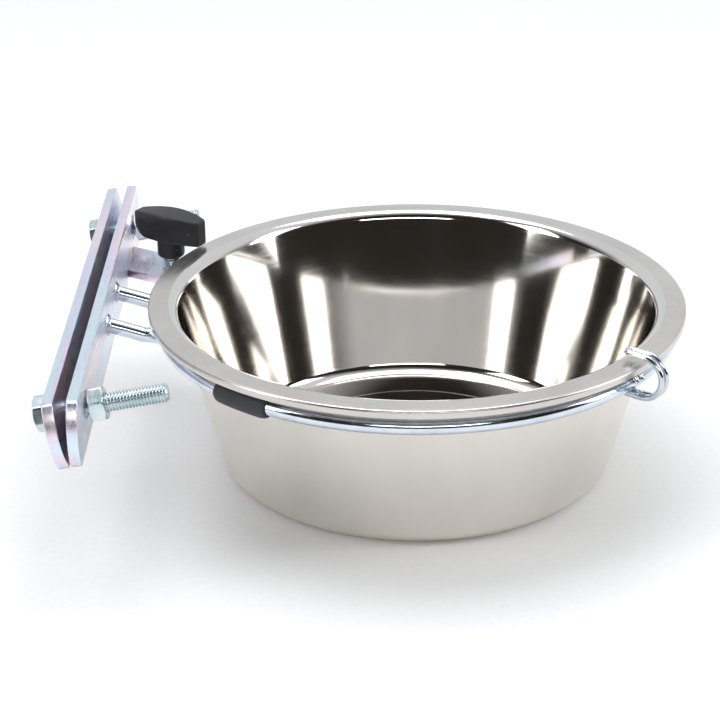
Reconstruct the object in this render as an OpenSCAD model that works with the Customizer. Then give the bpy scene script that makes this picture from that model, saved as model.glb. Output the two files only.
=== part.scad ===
// Steel feeding bowl in a wire ring that clamps to a cage wall.
// Units are millimetres. The origin is the centre of the bowl's standing ring,
// +Z is up, +X points from the clamp to the far side of the bowl and
// +Y runs along the clamp plates.

/* [Bowl] */
// outer diameter of the rim
rim_d = 180; // [176:1:184]
// height of the rim's outer edge above the floor
bowl_h = 59; // [57:1:64]
// sheet thickness
sheet = 0.8; // [0.6:0.1:1]
// lean of the wall away from vertical, degrees
wall_lean = 14.7; // [13:0.1:16]
// outer radius of the wall, carried up to the rim's level
wall_top_r = 81.4; // [80.8:0.1:81.6]
// rise of the flat rim from its outer to its inner edge
rim_rise = 0.6; // [0.4:0.1:0.8]
// depth of the skirt turned down at the rim's edge
skirt_drop = 2.5; // [2:0.1:2.6]
// radius of the raised middle of the floor
floor_step_r = 48; // [40:1:52]
// height of the raised middle of the floor
floor_step_h = 0.7; // [0.5:0.1:1]

/* [Wire holder] */
// wire diameter of the holder ring
wire_d = 5; // [4.5:0.1:5]
// radius of the ring, to the middle of its wire
ring_r = 85.2; // [85:0.1:85.4]
// drop of the ring's wire below the rim
ring_drop = 7.3; // [7.3:0.1:7.6]
// half the distance between the two straight wire ends
prong_y = 14; // [12:0.5:16]
// rise of the straight ends from the ring up to the plate
prong_rise = 3.8; // [3:0.1:4]
// bend radius where the ring turns into its straight ends
prong_bend_r = 8; // [7:0.5:10]
// outer diameter of the rubber sleeves on the ring
sleeve_d = 7.6; // [7:0.1:7.6]
// compass angle of the front sleeve's end near the clamp, degrees
sleeve_from = -137.5; // [-140:0.5:-130]
// compass angle of the front sleeve's other end, degrees
sleeve_to = -124; // [-126:0.5:-116]

/* [Clamp] */
// length of the clamp plates
plate_l = 196; // [190:1:200]
// height of the clamp plates
plate_h = 22; // [20:0.5:22]
// thickness of the clamp plates
plate_t = 3.5; // [3:0.1:3.5]
// radius of the rounded plate ends
plate_end_r = 16; // [14:1:40]
// distance from the bowl's axis to the inner plate's near face
plate_x = 102.3; // [102.3:0.1:104]
// tilt of the bolts and of the loose outer plate, degrees
bolt_tilt = 10; // [10:1:10]
// distance between the middles of the two plates, along the bolts
plate_gap = 5.7; // [5.7:0.1:7]
// half the distance between the two bolts
bolt_y = 76; // [75:1:80]
// length of the bolts under their heads
bolt_l = 37; // [36:1:45]
// distance from the inner plate's middle back to the bolt heads
bolt_back = 10; // [9.5:0.5:12]

/* [Latches] */
// compass angle of the tab and knob, degrees
tab_angle = 148.5; // [147:0.5:149]
// width of the tab
tab_w = 20; // [18:1:20]
// top of the tab
tab_top = 49; // [48.5:0.1:49]
// distance from the bowl's axis to the knob's axis
knob_r = 101.5; // [101.3:0.1:101.8]
// length of the knob's wing
wing_l = 28; // [26:1:29]
// compass angle of the rim clip, degrees
clip_angle = -40; // [-70:5:-20]
// wire diameter of the rim clip
clip_wire_d = 1.9; // [1.6:0.1:1.9]

/* [Hidden] */

steel = [0.80, 0.79, 0.77];
zinc = [0.76, 0.80, 0.86];
plate_zinc = [0.78, 0.76, 0.86];
black = [0.08, 0.08, 0.09];
grey_rubber = [0.18, 0.18, 0.19];

rim_r = rim_d / 2;
wire_r = wire_d / 2;
ring_z = bowl_h - ring_drop;
wall_slope = tan(wall_lean);
arc_steps = 8;
round_fn = 96;

// bowl outline
floor_step_run = 1.5;
base_corner_r = 5.8;
rim_corner_r = 3.2;
rim_edge_r = 0.8;
rim_split_gap = 0.1;
rim_split_z = bowl_h - skirt_drop - rim_split_gap;

// ring, measured from the bowl's axis
bend_centre_x = -sqrt(pow(ring_r + prong_bend_r, 2) - pow(prong_y + prong_bend_r, 2));
bend_centre_y = prong_y + prong_bend_r;
bend_angle = atan2(bend_centre_y, -bend_centre_x);
sleeve_fit = 0.05;

// where two lengths of one wire meet, the thinner end is let into the other
splice_l = 0.05;
splice_step = 0.01;

// M6 fasteners
thread_r = 3;
thread_root_r = 2.45;
thread_pitch = 1;
hex_flats = 10;
head_t = 4;
nut_t = 5;
nut_fit = 0.05;
nut_start = 2.9;
bolt_plain_l = 2;
shank_in_head = 1;
slack_hole_r = 3.6;
bolt_hole_r = 3.2;
head_turn = 46;
nut_turn = 6;
clamp_mid = [-plate_x - plate_t / 2, 0, bowl_h - 3.8];
plate_mid_z = bowl_h - 4;

// tab, knob and stud, laid out along the tab with the knob's axis at zero
tab_t = 3;
tab_end_r = 82;
tab_reach = knob_r - tab_end_r;
tab_back = 24;
stud_below = 3.5;
hub_r = 4.9;
hub_bottom = bowl_h - 5.5;
wing_bottom = bowl_h + 1;
wing_h = 9;
wing_dome = 1.4;
wing_mid_t = 11;
wing_end_t = 5;
wing_corner_r = 6;
dome_steps = 12;
hub_edge_r = 1.5;

// rim clip, in the plane that passes through the bowl's axis
clip_fit = 0.08;
eye_r = wire_r + clip_wire_d / 2 + clip_fit;
strand_y = 1.35;
clip_top = bowl_h + 3.1;
clip_low = ring_z - eye_r;
clip_loop_r = (clip_top - clip_low) / 2;
clip_loop_x = 90.2;
clip_turn_x = 85;
eye_angle = 250;

// Points that round off the corner q of the line p, q, s.
function rounded(p, q, s, r) =
  let (
    u = (p - q) / norm(p - q),
    v = (s - q) / norm(s - q),
    half = acos(u * v) / 2,
    middle = q + (u + v) / norm(u + v) * r / sin(half),
    start = q + u * r / tan(half),
    from = atan2(start.y - middle.y, start.x - middle.x),
    turn = -sign(cross(u, v)) * (180 - 2 * half)
  )
  [for (i = [0:arc_steps]) middle + r * [cos(from + turn * i / arc_steps), sin(from + turn * i / arc_steps)]];

// Radius of the wall at height z, on its outside or one sheet further in.
function wall_r(z, inset = 0) = wall_top_r - (bowl_h - z) * wall_slope - inset / cos(wall_lean);

// The whole bowl is one pressed sheet. Its rim is a node of its own so that
// the space under the rim, where the ring and the clip go, stays open.
module bowl_outline() {
  rim_under = bowl_h - sheet;
  step_in = [floor_step_r - floor_step_run, floor_step_h];
  base_corner = [wall_r(0), 0];
  neck = [wall_r(rim_under + rim_rise), rim_under + rim_rise];
  skirt_in = [rim_r - sheet, rim_under];
  skirt_low = [rim_r, bowl_h - skirt_drop];
  rim_edge = [rim_r, bowl_h];
  mouth = [wall_r(bowl_h + rim_rise, sheet), bowl_h + rim_rise];
  floor_corner = [wall_r(sheet, sheet), sheet];
  floor_edge = [floor_step_r, sheet];
  polygon(concat(
    [[0, floor_step_h], step_in, [floor_step_r, 0]],
    rounded([floor_step_r, 0], base_corner, neck, base_corner_r),
    rounded(base_corner, neck, skirt_in, rim_corner_r),
    [skirt_in, skirt_low - [sheet, 0], skirt_low],
    rounded(skirt_low, rim_edge, mouth, rim_edge_r),
    rounded(rim_edge, mouth, floor_corner, rim_corner_r + sheet),
    rounded(mouth, floor_corner, floor_edge, base_corner_r - sheet),
    [floor_edge, step_in + [0, sheet], [0, floor_step_h + sheet]]
  ));
}

// The turned part of the bowl between two heights.
module bowl_between(low, high) {
  color(steel)
    rotate_extrude($fn = 180)
      intersection() {
        bowl_outline();
        translate([0, low])
          square([rim_d, high - low]);
      }
}

module bowl() {
  bowl_between(0, rim_split_z);
}

module bowl_rim() {
  bowl_between(rim_split_z, bowl_h + rim_rise);
}

// Part of a torus: a wire of radius r bent to bend_r, from one angle through a turn.
module bent_wire(r, bend_r, from, turn) {
  rotate([0, 0, from])
    rotate_extrude(angle = turn, $fn = bend_r > ring_r / 2 ? 144 : 48)
      translate([bend_r, 0])
        circle(r, $fn = 24);
}

// A straight wire along +X between two bends, let a little way into each of them.
module straight_wire(r, l) {
  translate([-splice_l, 0, 0])
    rotate([0, 90, 0])
      cylinder(h = l + 2 * splice_l, r = r - splice_step, $fn = 24);
}

// A straight end: bend, elbow and a run that rises to the plate's face.
module prong() {
  bend_r = wire_r - splice_step;
  splice_turn = splice_l / prong_bend_r * 180 / PI;
  run = plate_x + bend_centre_x;
  translate([bend_centre_x, bend_centre_y, 0])
    bent_wire(bend_r, prong_bend_r, -90, 90 - bend_angle + splice_turn);
  difference() {
    translate([bend_centre_x, prong_y, 0]) {
      sphere(wire_r + splice_step, $fn = 48);
      rotate([0, atan2(prong_rise, run) - 90, 0])
        cylinder(h = 2 * run, r = bend_r - splice_step, $fn = 24);
    }
    translate([-2 * plate_x, 0, -plate_h])
      cube([plate_x, 2 * prong_y, 2 * plate_h]);
  }
}

module holder_ring() {
  color(zinc)
    translate([0, 0, ring_z]) {
      bent_wire(wire_r, ring_r, bend_angle - 180, 360 - 2 * bend_angle);
      prong();
      mirror([0, 1, 0])
        prong();
    }
}

module sleeve() {
  color(grey_rubber)
    translate([0, 0, ring_z])
      rotate([0, 0, sleeve_from])
        rotate_extrude(angle = sleeve_to - sleeve_from, $fn = 180)
          translate([ring_r, 0])
            difference() {
              circle(d = sleeve_d, $fn = 32);
              circle(wire_r + sleeve_fit, $fn = 32);
            }
}

module front_sleeve() {
  sleeve();
}

module back_sleeve() {
  mirror([0, 1, 0])
    sleeve();
}

// A clamp plate standing on edge, centred, with its two bolt holes.
module clamp_plate(hole_r) {
  end_y = plate_l / 2 - plate_end_r;
  color(plate_zinc)
    rotate([90, 0, 90])
      translate([0, 0, -plate_t / 2])
        linear_extrude(plate_t)
          difference() {
            intersection() {
              square([plate_l, plate_h], center = true);
              union() {
                square([2 * end_y, plate_h], center = true);
                for (side = [-1, 1])
                  translate([side * end_y, 0])
                    circle(plate_end_r, $fn = round_fn);
              }
            }
            for (side = [-1, 1])
              translate([side * bolt_y, 0])
                circle(hole_r, $fn = round_fn);
          }
}

module inner_plate() {
  translate([-plate_x - plate_t / 2, 0, plate_mid_z])
    clamp_plate(slack_hole_r);
}

// Places its children on the tilted clamp line, a distance s from the inner plate.
module on_clamp(s, y = 0) {
  translate(clamp_mid)
    rotate([0, -bolt_tilt, 0])
      translate([s, y, 0])
        children();
}

module outer_plate() {
  on_clamp(-plate_gap)
    clamp_plate(bolt_hole_r);
}

// Half outline of a screw thread made of rings, from the tip back over length l.
function thread_outline(l) =
  let (rings = floor(l / thread_pitch))
  concat(
    [[0, 0], [thread_root_r, 0]],
    [for (i = [0:rings - 1]) each [
      [thread_root_r, i * thread_pitch],
      [thread_r, (i + 0.5) * thread_pitch],
    ]],
    [[thread_root_r, rings * thread_pitch], [0, rings * thread_pitch]]
  );

module threaded_rod(l) {
  rotate_extrude($fn = 48)
    polygon(thread_outline(l));
}

// A hexagon prism along +X with both ends chamfered at 30 degrees.
module hex_prism(t, turn) {
  flat_r = hex_flats / 2;
  cone_r = flat_r + t / tan(30);
  rotate([turn, 0, 0])
    rotate([0, 90, 0])
      intersection() {
        cylinder(h = t, r = flat_r / cos(30), $fn = 6);
        cylinder(h = t, r1 = flat_r, r2 = cone_r, $fn = 64);
        cylinder(h = t, r1 = cone_r, r2 = flat_r, $fn = 64);
      }
}

module bolt(y) {
  color(zinc)
    on_clamp(-bolt_back, y) {
      translate([-shank_in_head, 0, 0])
        rotate([0, 90, 0])
          cylinder(h = shank_in_head + bolt_plain_l, r = thread_r, $fn = 48);
      translate([bolt_l, 0, 0])
        rotate([0, -90, 0])
          threaded_rod(bolt_l - bolt_plain_l);
      translate([-head_t, 0, 0])
        hex_prism(head_t, head_turn);
    }
}

module near_bolt() {
  bolt(-bolt_y);
}

module far_bolt() {
  bolt(bolt_y);
}

module nut(y) {
  color(zinc)
    on_clamp(nut_start, y)
      difference() {
        hex_prism(nut_t, nut_turn);
        translate([-1, 0, 0])
          rotate([0, 90, 0])
            cylinder(h = nut_t + 2, r = thread_r + nut_fit, $fn = 48);
      }
}

module near_nut() {
  nut(-bolt_y);
}

module far_nut() {
  nut(bolt_y);
}

// Places its children at the knob's axis with +X along the tab, towards the bowl.
module at_knob() {
  rotate([0, 0, tab_angle + 180])
    translate([-knob_r, 0, 0])
      children();
}

module latch_tab() {
  color(zinc)
    difference() {
      at_knob()
        translate([-tab_back, -tab_w / 2, tab_top - tab_t])
          cube([tab_back + tab_reach, tab_w, tab_t]);
      translate([-plate_x - plate_l, 0, 0])
        cube([plate_l, plate_l, bowl_h]);
      at_knob()
        translate([0, 0, tab_top - tab_t - 1])
          cylinder(h = tab_t + 2, r = thread_r + nut_fit, $fn = 48);
    }
}

module knob_stud() {
  color(zinc)
    at_knob()
      translate([0, 0, tab_top - tab_t - stud_below])
        threaded_rod(hub_bottom - tab_top + tab_t + stud_below);
}

// The wing seen from above: a lens with its points cut off.
module wing_plan() {
  sag = (wing_mid_t - wing_end_t) / 2;
  side_r = (pow(wing_l / 2, 2) + sag * sag) / (2 * sag);
  intersection() {
    square([wing_l, wing_mid_t], center = true);
    translate([0, side_r - wing_mid_t / 2])
      circle(side_r, $fn = 180);
    translate([0, wing_mid_t / 2 - side_r])
      circle(side_r, $fn = 180);
  }
}

// The wing seen from the side: domed top, rounded lower corner at the back.
module wing_side() {
  half_l = wing_l / 2;
  polygon(concat(
    rounded([half_l, 0], [-half_l, 0], [-half_l, wing_h], wing_corner_r),
    [for (i = [0:dome_steps])
      let (u = 2 * i / dome_steps - 1)
      [half_l * u, wing_h + wing_dome * (1 - u * u)]],
    [[half_l, 0]]
  ));
}

module hub() {
  hub_h = wing_bottom + 1 - hub_bottom;
  rotate_extrude($fn = 64)
    union() {
      translate([0, hub_edge_r])
        square([hub_r, hub_h - hub_edge_r]);
      square([hub_r - hub_edge_r, hub_h]);
      translate([hub_r - hub_edge_r, hub_edge_r])
        circle(hub_edge_r, $fn = 32);
    }
}

module wing_knob() {
  color(black)
    at_knob() {
      intersection() {
        translate([0, 0, wing_bottom])
          linear_extrude(wing_h + wing_dome)
            wing_plan();
        translate([0, wing_mid_t, wing_bottom])
          rotate([90, 0, 0])
            linear_extrude(2 * wing_mid_t)
              wing_side();
      }
      translate([0, 0, hub_bottom])
        hub();
    }
}

// One strand of the clip: eye round the ring, run out, loop over the rim, run in.
module clip_strand() {
  wire = clip_wire_d / 2;
  translate([ring_r, 0, ring_z])
    rotate([90, 0, 0])
      bent_wire(wire, eye_r, -90 - eye_angle, eye_angle);
  translate([ring_r, 0, clip_low])
    straight_wire(wire, clip_loop_x - ring_r);
  translate([clip_loop_x, 0, (clip_top + clip_low) / 2])
    rotate([90, 0, 0])
      bent_wire(wire, clip_loop_r, -90, 180);
  translate([clip_turn_x, 0, clip_top])
    straight_wire(wire, clip_loop_x - clip_turn_x);
}

module rim_clip() {
  color(zinc)
    rotate([0, 0, clip_angle]) {
      for (side = [-1, 1])
        translate([0, side * strand_y, 0])
          clip_strand();
      translate([clip_turn_x, 0, clip_top])
        bent_wire(clip_wire_d / 2, strand_y, 90, 180);
    }
}

bowl();
bowl_rim();
holder_ring();
inner_plate();
outer_plate();
near_bolt();
far_bolt();
near_nut();
far_nut();
latch_tab();
wing_knob();
knob_stud();
front_sleeve();
back_sleeve();
rim_clip();
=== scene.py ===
"""Looks for the clamp-on feeding bowl. Metres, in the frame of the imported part."""
import math

import bmesh
import bpy
from mathutils import Matrix, Vector


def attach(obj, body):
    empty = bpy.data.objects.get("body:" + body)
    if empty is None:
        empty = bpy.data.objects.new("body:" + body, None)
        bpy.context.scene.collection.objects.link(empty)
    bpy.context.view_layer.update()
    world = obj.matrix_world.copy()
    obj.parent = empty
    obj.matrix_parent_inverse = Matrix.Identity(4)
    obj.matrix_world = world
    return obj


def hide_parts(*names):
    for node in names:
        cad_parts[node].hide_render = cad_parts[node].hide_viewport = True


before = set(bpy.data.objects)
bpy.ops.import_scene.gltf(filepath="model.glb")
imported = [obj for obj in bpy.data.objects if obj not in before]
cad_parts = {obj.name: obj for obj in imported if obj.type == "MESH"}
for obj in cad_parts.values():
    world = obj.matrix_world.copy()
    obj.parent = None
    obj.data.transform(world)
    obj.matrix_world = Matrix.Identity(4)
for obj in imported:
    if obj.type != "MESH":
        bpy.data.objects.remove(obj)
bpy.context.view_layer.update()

MM = 0.001

# Sizes in millimetres, the same as the solids.
RIM_R, RIM_Z, SHEET, LEAN = 90.0, 59.0, 0.8, math.radians(14.7)
WALL_TOP_R, RIM_RISE, SKIRT = 81.4, 0.6, 2.5
STEP_R, STEP_H, STEP_RUN = 48.0, 0.7, 1.5
RING_R, RING_Z, WIRE_R = 85.2, 51.7, 2.5
PRONG_Y, PRONG_RISE, PRONG_BEND_R, PLATE_X = 14.0, 3.8, 8.0, 102.3
PLATE_L, PLATE_H, PLATE_T, PLATE_END_R = 196.0, 22.0, 3.5, 16.0
BOLT_Y, BOLT_L, BOLT_BACK, PLATE_GAP = 76.0, 37.0, 10.0, 5.7
TILT = math.radians(10)
CLAMP_MID = Vector((-PLATE_X - PLATE_T / 2, 0, 55.2))
INNER_PLATE_MID = Vector((-PLATE_X - PLATE_T / 2, 0, 55.0))
SLACK_HOLE_R, BOLT_HOLE_R, BORE_FIT = 3.6, 3.2, 0.05
HEAD_TURN, NUT_TURN = math.radians(16), math.radians(36)
THREAD_R, ROOT_R, PITCH = 3.0, 2.45, 1.0
HEX_FLATS, HEAD_T, NUT_T, NUT_START = 10.0, 4.0, 5.0, 2.9
TAB_ANGLE, KNOB_R, TAB_TOP, TAB_T, TAB_W = math.radians(148.5), 101.5, 49.0, 3.0, 20.0
TAB_END_R, STUD_BELOW, HUB_LOW = 82.0, 3.5, 53.5
CLIP_ANGLE, CLIP_WIRE_R, STRAND_Y = math.radians(-40), 0.95, 1.35
EYE_R, CLIP_TOP, CLIP_LOOP_X, CLIP_TURN_X = 3.53, 62.1, 90.2, 85.0
SLEEVE_FROM, SLEEVE_TO, SLEEVE_R = math.radians(-137.5), math.radians(-124), 3.8
WIRE_INSET, EYE_TURN = 0.01, math.radians(250)
KNOB_LOW, KNOB_H, KNOB_DOME, KNOB_LEAST_H = 60.0, 9.0, 1.4, 3.4


# ---------------------------------------------------------------- mesh helpers

def new_piece(name, verts, faces, body, node, materials, matrix=None, sharp=35):
    """A mesh piece in metres that rides on a body and stands for a CAD node."""
    mesh = bpy.data.meshes.new(name)
    mesh.from_pydata([Vector(v) * MM for v in verts], [], faces)
    return finish_piece(name, mesh, body, node, materials, matrix, sharp)


def finish_piece(name, mesh, body, node, materials, matrix, sharp):
    bm = bmesh.new()
    bm.from_mesh(mesh)
    bmesh.ops.remove_doubles(bm, verts=bm.verts, dist=2e-6)
    bmesh.ops.dissolve_degenerate(bm, edges=bm.edges, dist=1e-7)
    bmesh.ops.recalc_face_normals(bm, faces=bm.faces)
    if matrix is not None:
        bmesh.ops.transform(bm, matrix=matrix, verts=bm.verts)
    for face in bm.faces:
        face.smooth = True
    for edge in bm.edges:
        if len(edge.link_faces) == 2 and edge.calc_face_angle(0) > math.radians(sharp):
            edge.smooth = False
    bm.to_mesh(mesh)
    bm.free()
    for material in materials:
        mesh.materials.append(material)
    piece = bpy.data.objects.new(name, mesh)
    bpy.context.collection.objects.link(piece)
    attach(piece, body)
    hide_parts(node)
    return piece


def grid_faces(rows, cols, close_rows=False):
    """Quads between rows of points; columns always wrap round."""
    last = rows if close_rows else rows - 1
    faces = []
    for i in range(last):
        for j in range(cols):
            k = (j + 1) % cols
            n = (i + 1) % rows
            faces.append((i * cols + j, i * cols + k, n * cols + k, n * cols + j))
    return faces


def rounded(p, q, s, r, steps=10):
    """Points that round off the corner q of the line p, q, s."""
    p, q, s = Vector(p), Vector(q), Vector(s)
    u, v = (p - q).normalized(), (s - q).normalized()
    half = u.angle(v) / 2
    middle = q + (u + v).normalized() * r / math.sin(half)
    start = (q + u * r / math.tan(half) - middle).normalized()
    end = (q + v * r / math.tan(half) - middle).normalized()
    return [middle + start.slerp(end, i / steps) * r for i in range(steps + 1)]


def lathe(profile, segments, close=True):
    """Vertices and faces of a profile of (r, z) turned about Z."""
    verts = []
    for r, z in profile:
        for j in range(segments):
            a = 2 * math.pi * j / segments
            verts.append((r * math.cos(a), r * math.sin(a), z))
    return verts, grid_faces(len(profile), segments, close)


def tube(path, radius, segments):
    """A round wire along a path of points, with rounded, closed ends."""
    points = [Vector(p) for p in path]
    tangents = []
    for i in range(len(points)):
        a, b = points[max(i - 1, 0)], points[min(i + 1, len(points) - 1)]
        tangents.append((b - a).normalized())
    normal = tangents[0].orthogonal().normalized()
    rings = []
    for p, t in zip(points, tangents):
        normal = (normal - t * normal.dot(t)).normalized()
        side = t.cross(normal)
        rings.append((p, t, normal, side, radius))
    first, last = rings[0], rings[-1]
    caps = [(0.35, 0.95), (0.65, 0.76), (0.85, 0.5), (0.95, 0.0)]
    bulge = 0.45

    def cap(ring, sign):
        p, t, n, s, r = ring
        return [(p + t * (sign * d * bulge * r), t, n, s, r * k) for d, k in caps]

    rings = cap(first, -1)[::-1] + rings + cap(last, 1)
    verts = []
    for p, t, n, s, r in rings:
        for j in range(segments):
            a = 2 * math.pi * j / segments
            verts.append(p + n * (r * math.cos(a)) + s * (r * math.sin(a)))
    return verts, grid_faces(len(rings), segments)


def arc(centre, r, start, turn, steps, plane="xy"):
    """Points of an arc; angles in radians."""
    points = []
    for i in range(steps + 1):
        a = start + turn * i / steps
        u, v = r * math.cos(a), r * math.sin(a)
        offset = Vector((u, v, 0)) if plane == "xy" else Vector((u, 0, v))
        points.append(Vector(centre) + offset)
    return points


def add_weighted(piece):
    modifier = piece.modifiers.new("even_normals", "WEIGHTED_NORMAL")
    modifier.keep_sharp = True
    modifier.weight = 90


def add_bevel(piece, width, segments=2, angle=28):
    bevel = piece.modifiers.new("soft_edges", "BEVEL")
    bevel.width = width * MM
    bevel.segments = segments
    bevel.limit_method = "ANGLE"
    bevel.angle_limit = math.radians(angle)
    add_weighted(piece)


def flat_bar(name, loops, thickness, edge, matrix, body, node, materials):
    """A plate cut to the first loop, with the other loops as holes and soft edges."""
    curve = bpy.data.curves.new(name + "_outline", "CURVE")
    curve.dimensions = "2D"
    curve.fill_mode = "BOTH"
    curve.extrude = (thickness / 2 - edge) * MM
    curve.bevel_depth = edge * MM
    curve.bevel_resolution = 3
    curve.offset = -edge * MM
    for loop in loops:
        spline = curve.splines.new("POLY")
        spline.points.add(len(loop) - 1)
        for point, (x, y) in zip(spline.points, loop):
            point.co = (x * MM, y * MM, 0, 1)
        spline.use_cyclic_u = True
    outline = bpy.data.objects.new(name + "_outline", curve)
    bpy.context.collection.objects.link(outline)
    bpy.context.view_layer.update()
    graph = bpy.context.evaluated_depsgraph_get()
    mesh = bpy.data.meshes.new_from_object(outline.evaluated_get(graph))
    bpy.data.objects.remove(outline)
    mesh.name = name
    piece = finish_piece(name, mesh, body, node, materials, matrix, 60)
    add_weighted(piece)
    return piece


# ------------------------------------------------------------ material helpers

class Shader:
    """A small wrapper that builds one Principled material out of nodes."""

    def __init__(self, name, metallic, roughness):
        self.material = bpy.data.materials.new(name)
        self.material.use_nodes = True
        self.tree = self.material.node_tree
        self.bsdf = self.tree.nodes["Principled BSDF"]
        self.bsdf.inputs["Metallic"].default_value = metallic
        self.bsdf.inputs["Roughness"].default_value = roughness
        self.where = self.add("ShaderNodeTexCoord").outputs["Object"]

    def add(self, kind, **settings):
        node = self.tree.nodes.new(kind)
        for key, value in settings.items():
            setattr(node, key, value)
        return node

    def link(self, a, b):
        self.tree.links.new(a, b)

    def math(self, operation, a, b=0.0):
        node = self.add("ShaderNodeMath", operation=operation)
        for socket, value in zip(node.inputs, (a, b)):
            if isinstance(value, (int, float)):
                socket.default_value = value
            else:
                self.link(value, socket)
        return node.outputs[0]

    def stretched(self, scale):
        node = self.add("ShaderNodeMapping")
        node.inputs["Scale"].default_value = scale
        self.link(self.where, node.inputs["Vector"])
        return node.outputs["Vector"]

    def noise(self, vector, scale, detail=3.0, roughness=0.5):
        node = self.add("ShaderNodeTexNoise")
        node.inputs["Scale"].default_value = scale
        node.inputs["Detail"].default_value = detail
        node.inputs["Roughness"].default_value = roughness
        self.link(vector, node.inputs["Vector"])
        return node.outputs["Fac"]

    def ramp(self, value, stops):
        node = self.add("ShaderNodeValToRGB")
        elements = node.color_ramp.elements
        while len(elements) < len(stops):
            elements.new(0.5)
        for element, (place, colour) in zip(elements, stops):
            element.position = place
            element.color = (*colour, 1)
        self.link(value, node.inputs["Fac"])
        return node.outputs["Color"]

    def spread(self, value, low, high, start=0.3, end=0.7):
        node = self.add("ShaderNodeMapRange")
        node.inputs["From Min"].default_value = start
        node.inputs["From Max"].default_value = end
        node.inputs["To Min"].default_value = low
        node.inputs["To Max"].default_value = high
        self.link(value, node.inputs["Value"])
        return node.outputs["Result"]

    def bump(self, layers):
        """Stacks (height, strength, distance in mm) layers of bump."""
        normal = None
        for height, strength, distance in layers:
            node = self.add("ShaderNodeBump")
            node.inputs["Strength"].default_value = strength
            node.inputs["Distance"].default_value = distance * MM
            self.link(height, node.inputs["Height"])
            if normal is not None:
                self.link(normal, node.inputs["Normal"])
            normal = node.outputs["Normal"]
        self.link(normal, self.bsdf.inputs["Normal"])

    def colour(self, value):
        self.link(value, self.bsdf.inputs["Base Color"])

    def roughness(self, value):
        self.link(value, self.bsdf.inputs["Roughness"])

    def turned(self, around, across):
        """Coordinates that follow a turned part: angle, radius and height."""
        split = self.add("ShaderNodeSeparateXYZ")
        self.link(self.where, split.inputs[0])
        x, y, z = split.outputs
        x_squared = self.math("MULTIPLY", x, x)
        y_squared = self.math("MULTIPLY", y, y)
        radius = self.math("SQRT", self.math("ADD", x_squared, y_squared))
        join = self.add("ShaderNodeCombineXYZ")
        self.link(self.math("MULTIPLY", x, around), join.inputs[0])
        self.link(self.math("MULTIPLY", y, around), join.inputs[1])
        self.link(self.math("MULTIPLY", self.math("ADD", radius, z), across), join.inputs[2])
        return join.outputs[0]


def turned_steel(name, dark, light, rough_low, rough_high, line_strength, wave_strength):
    """Stainless sheet with the fine rings that spinning and polishing leave."""
    s = Shader(name, 1.0, rough_low)
    rings = s.noise(s.turned(6, 2600), 1.0, 4.0, 0.65)
    patches = s.noise(s.stretched((1, 1, 0.4)), 38, 3.0)
    waves = s.noise(s.stretched((1, 1, 0.25)), 24, 1.0)
    s.colour(s.ramp(patches, [(0.3, dark), (0.7, light)]))
    both = s.math("ADD", s.math("MULTIPLY", rings, 0.55), s.math("MULTIPLY", patches, 0.45))
    s.roughness(s.spread(both, rough_low, rough_high))
    s.bump([(waves, wave_strength, 0.4), (rings, line_strength, 0.02)])
    return s.material


def bright_zinc(name, dark, light, rough_low, rough_high):
    """Smooth bright zinc on wire and screws, a little cloudy."""
    s = Shader(name, 1.0, rough_low)
    clouds = s.noise(s.stretched((1, 1, 1)), 220, 4.0, 0.6)
    grain = s.noise(s.stretched((1, 1, 1)), 2600, 2.0)
    s.colour(s.ramp(clouds, [(0.3, dark), (0.68, light)]))
    s.roughness(s.spread(clouds, rough_low, rough_high))
    s.bump([(clouds, 0.12, 0.15), (grain, 0.08, 0.02)])
    return s.material


def rainbow_zinc(name):
    """Passivated zinc on the flat bars: blue, lilac, pink and straw in long bands."""
    s = Shader(name, 1.0, 0.3)
    bands = s.noise(s.stretched((1.5, 0.12, 1.5)), 95, 2.0, 0.45)
    clouds = s.noise(s.stretched((1, 0.35, 1)), 60, 4.0, 0.6)
    mixed = s.math("ADD", s.math("MULTIPLY", bands, 0.68), s.math("MULTIPLY", clouds, 0.32))
    s.colour(s.ramp(mixed, [
        (0.34, (0.70, 0.82, 0.86)),
        (0.43, (0.70, 0.78, 0.88)),
        (0.50, (0.75, 0.71, 0.86)),
        (0.56, (0.86, 0.74, 0.81)),
        (0.61, (0.84, 0.80, 0.79)),
        (0.68, (0.74, 0.83, 0.88)),
    ]))
    grain = s.noise(s.stretched((1, 0.08, 1)), 1500, 3.0, 0.6)
    pits = s.noise(s.stretched((1, 1, 1)), 900, 3.0, 0.6)
    s.roughness(s.spread(grain, 0.24, 0.42))
    s.bump([(grain, 0.18, 0.03), (pits, 0.15, 0.03)])
    return s.material


def moulded(name, dark, light, rough_low, rough_high, grain_scale, grain_strength, dust):
    """Matte plastic or rubber with a fine moulded grain and a few dust specks."""
    s = Shader(name, 0.0, rough_low)
    clouds = s.noise(s.stretched((1, 1, 1)), 120, 3.0)
    specks = s.noise(s.stretched((1, 1, 1)), 1300, 1.0)
    grain = s.noise(s.stretched((1, 1, 1)), grain_scale, 3.0, 0.6)
    lit = s.math("ADD", s.math("MULTIPLY", clouds, 0.55), s.spread(specks, 0.0, dust, 0.74, 0.8))
    s.colour(s.ramp(lit, [(0.15, dark), (0.4, light), (0.9, (0.3, 0.29, 0.27))]))
    s.roughness(s.spread(clouds, rough_low, rough_high))
    s.bump([(grain, grain_strength, 0.05)])
    s.bsdf.inputs["Specular IOR Level"].default_value = 0.45
    return s.material


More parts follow.
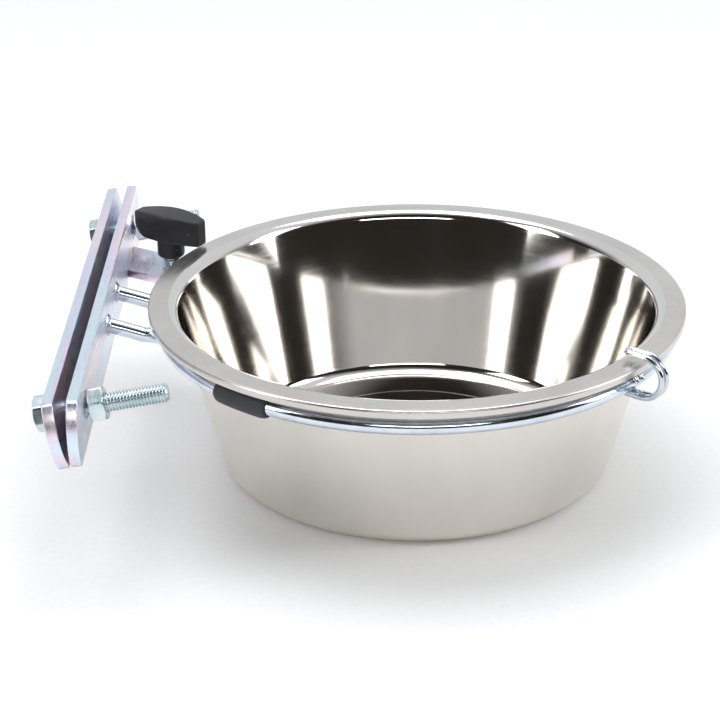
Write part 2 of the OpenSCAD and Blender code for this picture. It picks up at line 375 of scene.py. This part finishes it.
mirror_steel = turned_steel(
    "bowl_inside_polish", (0.70, 0.675, 0.64), (0.76, 0.735, 0.70), 0.05, 0.11, 0.05, 0.06,
)
# Rim copy of the same sheet: a satin finish, and a darker base colour that is painted shade.
rim_steel_painted_shade = turned_steel(
    "bowl_rim_satin_painted_shade", (0.60, 0.57, 0.54), (0.67, 0.635, 0.605), 0.22, 0.32, 0.07, 0.03,
)
# Outside copy of the same sheet: a satin finish, and a lighter base colour that is painted light from the
# bright floor around it.
satin_steel_painted_light = turned_steel(
    "bowl_outside_satin_painted_light", (0.78, 0.75, 0.695), (0.84, 0.81, 0.755), 0.28, 0.38, 0.20, 0.05,
)
wire_zinc = bright_zinc("wire_zinc", (0.60, 0.66, 0.75), (0.74, 0.79, 0.87), 0.08, 0.16)
clip_zinc = bright_zinc("clip_zinc", (0.52, 0.56, 0.60), (0.66, 0.70, 0.74), 0.08, 0.16)
screw_zinc = bright_zinc("screw_zinc", (0.52, 0.63, 0.66), (0.68, 0.76, 0.78), 0.14, 0.26)
bar_zinc = rainbow_zinc("plate_zinc")
knob_black = moulded(
    "knob_plastic", (0.012, 0.012, 0.013), (0.022, 0.022, 0.024), 0.42, 0.55, 1500, 0.25, 0.8,
)
sleeve_grey = moulded("sleeve_rubber", (0.03, 0.03, 0.033), (0.05, 0.05, 0.055), 0.55, 0.7, 1100, 0.35, 0.3)


# ------------------------------------------------------------------------ bowl

def wall_r(z, inset=0.0):
    return WALL_TOP_R - (RIM_Z - z) * math.tan(LEAN) - inset / math.cos(LEAN)


def build_bowl():
    """The bowl is one pressed sheet, so one mesh stands for both of its CAD nodes."""
    under = RIM_Z - SHEET
    neck = (wall_r(under + RIM_RISE), under + RIM_RISE)
    mouth = (wall_r(RIM_Z + RIM_RISE, SHEET), RIM_Z + RIM_RISE)
    skirt_in, skirt_low = (RIM_R - SHEET, under), (RIM_R - SHEET, RIM_Z - SKIRT)
    skirt_out, rim_edge = (RIM_R, RIM_Z - SKIRT), (RIM_R, RIM_Z)
    base_out, base_in = (wall_r(0), 0), (wall_r(SHEET, SHEET), SHEET)
    step_in, step_out = (STEP_R - STEP_RUN, STEP_H), (STEP_R, 0)
    top_in, top_out = (STEP_R - STEP_RUN, STEP_H + SHEET), (STEP_R, SHEET)
    soft = 0.6
    outside = [(0.0, STEP_H), (20.0, STEP_H)]
    outside += rounded(outside[1], step_in, step_out, soft, 4)
    outside += rounded(step_in, step_out, base_out, soft, 4)
    outside += rounded(step_out, base_out, neck, 5.8, 12)
    outside += rounded(base_out, neck, skirt_in, 3.2)
    rim = rounded(neck, skirt_in, skirt_low, 0.3, 4)
    rim += rounded(skirt_in, skirt_low, skirt_out, 0.25, 3)
    rim += rounded(skirt_low, skirt_out, rim_edge, 0.25, 3)
    rim += rounded(skirt_out, rim_edge, mouth, 0.8, 8)
    inside = rounded(rim_edge, mouth, base_in, 4.0, 12)
    inside += rounded(mouth, base_in, top_out, 5.0, 12)
    inside += rounded(base_in, top_out, top_in, soft, 4)
    inside += rounded(top_out, top_in, (20.0, STEP_H + SHEET), soft, 4)
    inside += [(20.0, STEP_H + SHEET), (0.0, STEP_H + SHEET)]
    segments = 256
    verts, faces = lathe([tuple(p) for p in outside + rim + inside], segments, False)
    # Same sheet throughout: the rim faces get a darker colour that is painted shade, and the outside faces
    # a lighter colour that is painted light.
    steels = [satin_steel_painted_light, rim_steel_painted_shade, mirror_steel]
    bowl = new_piece("bowl", verts, faces, "bowl", "bowl", steels, sharp=50)
    neck_r = 83.2 * MM
    for face in bowl.data.polygons:
        c = face.center
        r = math.hypot(c.x, c.y)
        if r > neck_r and c.z > (RIM_Z - SKIRT - 0.5) * MM:
            face.material_index = 1
        elif face.normal.x * c.x + face.normal.y * c.y < 0 or (face.normal.z > 0.5 and c.z > 0.0007):
            face.material_index = 2
    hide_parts("bowl_rim")
    return bowl


# ----------------------------------------------------------------- wire holder

BEND_Y = PRONG_Y + PRONG_BEND_R
BEND_X = -math.sqrt((RING_R + PRONG_BEND_R) ** 2 - BEND_Y ** 2)
BEND_ANGLE = math.atan2(BEND_Y, -BEND_X)


def build_ring():
    plate = Vector((-PLATE_X - 0.3, PRONG_Y, RING_Z + PRONG_RISE))
    half = [plate, plate.lerp(Vector((BEND_X, PRONG_Y, RING_Z)), 0.5)]
    half += arc((BEND_X, BEND_Y, RING_Z), PRONG_BEND_R, -math.pi / 2, math.pi / 2 - BEND_ANGLE, 12)
    ring = arc((0, 0, RING_Z), RING_R, math.pi - BEND_ANGLE, -2 * (math.pi - BEND_ANGLE), 220)
    back = [Vector((p.x, -p.y, p.z)) for p in half[::-1]]
    path = half + ring[1:-1] + back
    verts, faces = tube(path, WIRE_R - WIRE_INSET, 28)
    for side in (-1, 1):
        bead = weld_bead(Vector((-PLATE_X, side * PRONG_Y, RING_Z + PRONG_RISE)), WIRE_R)
        start = len(verts)
        verts += bead[0]
        faces += [tuple(i + start for i in f) for f in bead[1]]
    return new_piece("holder_ring", verts, faces, "holder", "holder_ring", [wire_zinc])


def weld_bead(centre, r):
    """A low, slightly uneven collar of weld where a wire meets a plate."""
    rows = [(-0.05, 1.5), (0.25, 1.42), (0.7, 1.16), (1.1, 0.98), (1.1, 0.6), (-0.05, 0.6)]
    cols = 36
    verts = []
    for i, (height, size) in enumerate(rows):
        for j in range(cols):
            a = 2 * math.pi * j / cols
            lump = 1 + (0.06 * math.sin(3 * a + i) + 0.04 * math.sin(7 * a)) * (size > 1)
            spread = r * size * lump
            verts.append(centre + Vector((height * lump, spread * math.cos(a), spread * math.sin(a))))
    return verts, grid_faces(len(rows), cols, True)


def build_sleeve(name, side):
    """A short rubber tube pushed onto the ring."""
    start, end = SLEEVE_FROM, SLEEVE_TO
    steps, cols = 26, 36
    inner, outer = WIRE_R + BORE_FIT, SLEEVE_R
    profile = []
    for i in range(steps + 1):
        edge = min(i, steps - i)
        profile.append((start + (end - start) * i / steps, outer - (0.45, 0.12, 0.0)[min(edge, 2)]))
    rows = [(start, inner)] + profile + [(end, inner)]
    verts = []
    for a, r in rows:
        for j in range(cols):
            b = 2 * math.pi * j / cols
            flat = RING_R + r * math.cos(b)
            verts.append((flat * math.cos(a), side * flat * math.sin(a), RING_Z + r * math.sin(b)))
    faces = grid_faces(len(rows), cols, True)
    return new_piece(name, verts, faces, "holder", name, [sleeve_grey], sharp=50)


def build_clip():
    """One wire: eye, run out, loop over the rim, tight turn and the same way back."""
    low = RING_Z - EYE_R
    loop_r = (CLIP_TOP - low) / 2
    strand = arc((RING_R, 0, RING_Z), EYE_R, -math.pi / 2 - EYE_TURN, EYE_TURN, 30, "xz")
    strand = [Vector((p.x, STRAND_Y, p.z)) for p in strand]
    loop = arc((CLIP_LOOP_X, 0, low + loop_r), loop_r, -math.pi / 2, math.pi, 26, "xz")
    strand += [Vector((p.x, STRAND_Y, p.z)) for p in loop]
    turn = arc((CLIP_TURN_X, 0, CLIP_TOP), STRAND_Y, math.pi / 2, math.pi, 14)
    other = [Vector((p.x, -p.y, p.z)) for p in strand[::-1]]
    path = strand + turn + other
    verts, faces = tube(path, CLIP_WIRE_R, 24)
    matrix = Matrix.Rotation(CLIP_ANGLE, 4, "Z")
    return new_piece("rim_clip", verts, faces, "clip", "rim_clip", [clip_zinc], matrix)


# ----------------------------------------------------------------------- clamp

def bar_outline():
    """Outline of a clamp plate: a bar with shallow rounded ends."""
    end_x = PLATE_L / 2 - PLATE_END_R
    reach = math.asin(PLATE_H / 2 / PLATE_END_R)
    points = []
    for centre, facing in ((end_x, 0.0), (-end_x, math.pi)):
        for i in range(17):
            a = facing - reach + 2 * reach * i / 16
            points.append((centre + PLATE_END_R * math.cos(a), PLATE_END_R * math.sin(a)))
    return points


def circle(x, y, r, steps=40):
    return [
        (x + r * math.cos(2 * math.pi * i / steps), y + r * math.sin(2 * math.pi * i / steps))
        for i in range(steps)
    ]


STANDING = Matrix(((0, 0, 1, 0), (1, 0, 0, 0), (0, 1, 0, 0), (0, 0, 0, 1)))
CLAMP = Matrix.Translation(CLAMP_MID * MM) @ Matrix.Rotation(-TILT, 4, "Y")


def on_clamp(s, y=0.0):
    return CLAMP @ Matrix.Translation(Vector((s, y, 0)) * MM)


def build_plate(name, matrix, body, hole_r):
    holes = [circle(side * BOLT_Y, 0, hole_r) for side in (-1, 1)]
    loops = [bar_outline()] + holes
    return flat_bar(name, loops, PLATE_T, 0.45, matrix @ STANDING, body, name, [bar_zinc])


def build_tab():
    """The tab is laid out along its own length, with the knob's axis at zero."""
    reach, half = KNOB_R - TAB_END_R, TAB_W / 2
    turn = TAB_ANGLE + math.pi
    back = []
    for side in (-1, 1):
        knob_x = KNOB_R * math.cos(TAB_ANGLE)
        back.append(((-PLATE_X - knob_x + side * half * math.sin(turn)) / math.cos(turn), side * half))
    loop = [back[0], (reach, -half), (reach, half), back[1]]
    hole = circle(0, 0, THREAD_R + BORE_FIT)
    place = Vector((KNOB_R * math.cos(TAB_ANGLE), KNOB_R * math.sin(TAB_ANGLE), TAB_TOP - TAB_T / 2)) * MM
    matrix = Matrix.Translation(place) @ Matrix.Rotation(turn, 4, "Z")
    name, loops = "latch_tab", [loop, hole]
    return flat_bar(name, loops, TAB_T, 0.35, matrix, "holder", name, [bar_zinc])


def thread_mesh(length, plain=0.0, tip=0.7):
    """A rod along +Z with a real helical thread, its plain part at the start."""
    per_turn, cols = 12, 40
    rows = int(length / PITCH * per_turn)
    verts = [(0, 0, 0)] * cols
    for i in range(rows + 1):
        z = length * i / rows
        for j in range(cols):
            a = 2 * math.pi * j / cols
            phase = (z / PITCH - a / (2 * math.pi)) % 1.0
            crest = min(max((abs(2 * phase - 1) - 0.12) / 0.72, 0), 1)
            r = ROOT_R + (THREAD_R - ROOT_R) * crest
            if z < plain:
                r = THREAD_R - 0.02
            r = min(r, ROOT_R - 0.25 + (length - z) / tip * 0.8)
            verts.append((r * math.cos(a), r * math.sin(a), z))
    verts += [(0, 0, length)] * cols
    return verts, grid_faces(rows + 3, cols)


def hex_mesh(thickness, turn, bore=0.0):
    """A hexagon along +Z from zero with both ends chamfered, and a bore if given."""
    cols = 96
    flat_r, land_r = HEX_FLATS / 2, HEX_FLATS / 2 * 0.95
    chamfer = math.tan(math.radians(30))
    verts = []

    def row(radius, height):
        for j in range(cols):
            a = 2 * math.pi * j / cols
            side = (a + math.pi / 6) % (math.pi / 3) - math.pi / 6
            r, z = radius, height
            if radius is None:
                r = min(flat_r / math.cos(side), flat_r * 1.14)
                drop = (r - land_r) * chamfer
                z = drop if height == 0 else thickness - drop
            verts.append((r * math.cos(a + turn), r * math.sin(a + turn), z))

    if bore:
        row(bore + 0.35, 0)
    else:
        row(0.0, 0)
    row(land_r, 0)
    row(None, 0)
    row(None, thickness)
    row(land_r, thickness)
    if bore:
        row(bore + 0.35, thickness)
        row(bore, thickness - 0.35)
        row(bore, 0.35)
    else:
        row(0.0, thickness)
    count = len(verts) // cols
    return verts, grid_faces(count, cols, bool(bore))


ALONG_BOLT = Matrix.Rotation(math.pi / 2, 4, "Y")


def moved(mesh, shift):
    verts, faces = mesh
    return [Vector(v) + Vector(shift) for v in verts], faces


def joined(*meshes):
    verts, faces = [], []
    for part_verts, part_faces in meshes:
        start = len(verts)
        verts += [Vector(v) for v in part_verts]
        faces += [tuple(i + start for i in f) for f in part_faces]
    return verts, faces


def build_bolt(name, y, head_turn):
    head = moved(hex_mesh(HEAD_T, head_turn), (0, 0, -HEAD_T))
    verts, faces = joined(head, thread_mesh(BOLT_L, 2.0))
    matrix = on_clamp(-BOLT_BACK, y) @ ALONG_BOLT
    return new_piece(name, verts, faces, "outer_jaw", name, [screw_zinc], matrix, 28)


def build_nut(name, y, nut_turn):
    verts, faces = hex_mesh(NUT_T, nut_turn, THREAD_R + BORE_FIT)
    matrix = on_clamp(NUT_START, y) @ ALONG_BOLT
    nut = new_piece(name, verts, faces, name, name, [screw_zinc], matrix, 28)
    add_bevel(nut, 0.18)
    return nut


# ------------------------------------------------------------------------ knob

def knob_matrix(z):
    place = Vector((KNOB_R * math.cos(TAB_ANGLE), KNOB_R * math.sin(TAB_ANGLE), z)) * MM
    return Matrix.Translation(place) @ Matrix.Rotation(TAB_ANGLE + math.pi, 4, "Z")


def build_knob():
    """A lens-shaped wing with a domed top on a round hub, all edges soft."""
    half_l = 14.0
    mid_t, end_t, soft, corner, squareness = 5.5, 2.5, 0.7, 6.0, 0.18
    steps, cols = 48, 48
    sections = []
    for i in range(steps + 1):
        u = -half_l * math.cos(math.pi * i / steps)
        over = max(abs(u) - (half_l - soft), 0.0)
        inset = soft - math.sqrt(max(soft * soft - over * over, 0.0))
        thick = end_t + (mid_t - end_t) * (1 - (u / half_l) ** 2)
        bottom = KNOB_LOW
        if u < corner - half_l:
            bottom += corner - math.sqrt(max(corner ** 2 - (corner - half_l - u) ** 2, 0.0))
        top = KNOB_LOW + KNOB_H + KNOB_DOME * (1 - (u / half_l) ** 2)
        bottom = min(bottom, top - KNOB_LEAST_H)
        sections.append((u, thick - inset, bottom + inset, top - inset))
    verts = [(sections[0][0], 0, (sections[0][2] + sections[0][3]) / 2)] * cols
    for u, half, bottom, top in sections:
        mid_z, half_z = (bottom + top) / 2, (top - bottom) / 2
        for j in range(cols):
            a = 2 * math.pi * j / cols
            c, s = math.cos(a), math.sin(a)
            v = half * math.copysign(abs(c) ** squareness, c)
            w = half_z * math.copysign(abs(s) ** squareness, s)
            verts.append((u, v, mid_z + w))
    verts += [(sections[-1][0], 0, (sections[-1][2] + sections[-1][3]) / 2)] * cols
    wing = (verts, grid_faces(len(sections) + 2, cols))
    hub_r, edge = 4.9, 1.5
    profile = [(0.0, HUB_LOW)]
    profile += [tuple(p) for p in rounded((0, HUB_LOW), (hub_r, HUB_LOW), (hub_r, 60.0), edge, 8)]
    profile += [(hub_r, 61.0), (0.0, 61.5)]
    verts, faces = joined(wing, lathe(profile, 64, False))
    name, matrix = "wing_knob", knob_matrix(0)
    return new_piece(name, verts, faces, "knob", name, [knob_black], matrix, 60)


def build_stud():
    start = TAB_TOP - TAB_T - STUD_BELOW
    verts, faces = thread_mesh(HUB_LOW - start)
    matrix = knob_matrix(start)
    return new_piece("knob_stud", verts, faces, "knob", "knob_stud", [screw_zinc], matrix, 28)


build_bowl()
build_ring()
build_sleeve("front_sleeve", 1)
build_sleeve("back_sleeve", -1)
build_clip()
build_plate("inner_plate", Matrix.Translation(INNER_PLATE_MID * MM), "holder", SLACK_HOLE_R)
build_plate("outer_plate", on_clamp(-PLATE_GAP), "outer_jaw", BOLT_HOLE_R)
build_tab()
build_bolt("near_bolt", -BOLT_Y, HEAD_TURN)
build_bolt("far_bolt", BOLT_Y, HEAD_TURN)
build_nut("near_nut", -BOLT_Y, NUT_TURN)
build_nut("far_nut", BOLT_Y, NUT_TURN)
build_knob()
build_stud()


# ------------------------------------------------------------- stage and light

def build_floor():
    size = 4.0
    mesh = bpy.data.meshes.new("floor")
    corners = [(-size, -size, 0), (size, -size, 0), (size, size, 0), (-size, size, 0)]
    mesh.from_pydata(corners, [], [(0, 1, 2, 3)])
    floor = bpy.data.objects.new("floor", mesh)
    floor.location.z = -0.0002
    bpy.context.collection.objects.link(floor)
    s = Shader("floor_paper", 0.0, 0.85)
    fibres = s.noise(s.stretched((1, 1, 1)), 500, 3.0)
    s.colour(s.ramp(fibres, [(0.3, (0.90, 0.90, 0.90)), (0.7, (0.93, 0.93, 0.93))]))
    s.bump([(fibres, 0.05, 0.05)])
    mesh.materials.append(s.material)


def add_light(name, place, target, size, power, colour=(1, 1, 1)):
    light = bpy.data.lights.new(name, "AREA")
    light.shape = "RECTANGLE"
    light.size, light.size_y = size
    light.energy = power
    light.color = colour
    lamp = bpy.data.objects.new(name, light)
    lamp.location = place
    lamp.rotation_euler = (Vector(target) - Vector(place)).to_track_quat("-Z", "Y").to_euler()
    bpy.context.collection.objects.link(lamp)


def add_camera():
    """A long lens in front of the bowl and a little above it, placed to fit the rim and plates."""
    data = bpy.data.cameras.new("camera")
    data.lens, data.sensor_width = 100.0, 36.0
    camera = bpy.data.objects.new("camera", data)
    right = Vector((0.99992, -0.01011, -0.0074))
    forward = Vector((0.00615, 0.91054, -0.41338)).normalized()
    up = right.cross(forward).normalized()
    turn = Matrix((right, up, -forward)).transposed().to_4x4()
    camera.matrix_world = Matrix.Translation((-0.02324, -0.62182, 0.31757)) @ turn
    bpy.context.collection.objects.link(camera)
    bpy.context.scene.camera = camera


def add_world():
    """A studio that is bright behind and above the bowl and dark in front of it."""
    up_and_back, dark, bright = (0.12, 0.75, 0.55), (0.030, 0.026, 0.022, 1), (0.92, 0.96, 1.0, 1)
    world = bpy.data.worlds.new("studio")
    world.use_nodes = True
    tree = world.node_tree
    where = tree.nodes.new("ShaderNodeTexCoord")
    height = tree.nodes.new("ShaderNodeVectorMath")
    height.operation = "DOT_PRODUCT"
    height.inputs[1].default_value = up_and_back
    tree.links.new(where.outputs["Generated"], height.inputs[0])
    ramp = tree.nodes.new("ShaderNodeValToRGB")
    elements = ramp.color_ramp.elements
    elements[0].position, elements[0].color = 0.1, dark
    elements[1].position, elements[1].color = 0.5, bright
    tree.links.new(height.outputs["Value"], ramp.inputs["Fac"])
    tree.links.new(ramp.outputs["Color"], tree.nodes["Background"].inputs["Color"])
    tree.nodes["Background"].inputs["Strength"].default_value = 0.85
    bpy.context.scene.world = world


build_floor()
add_camera()
add_world()
middle = (0.0, 0.0, 0.04)
add_light("top_softbox", (-0.1, 0.35, 1.5), middle, (1.3, 0.9), 11)
add_light("left_softbox", (-1.3, -0.5, 0.8), middle, (0.5, 1.1), 8)
add_light("right_softbox", (1.3, -0.2, 0.7), middle, (0.4, 1.1), 7)
add_light("front_fill", (0.1, -1.6, 0.9), middle, (1.4, 0.3), 7)
bpy.context.scene.view_settings.view_transform = "Standard"
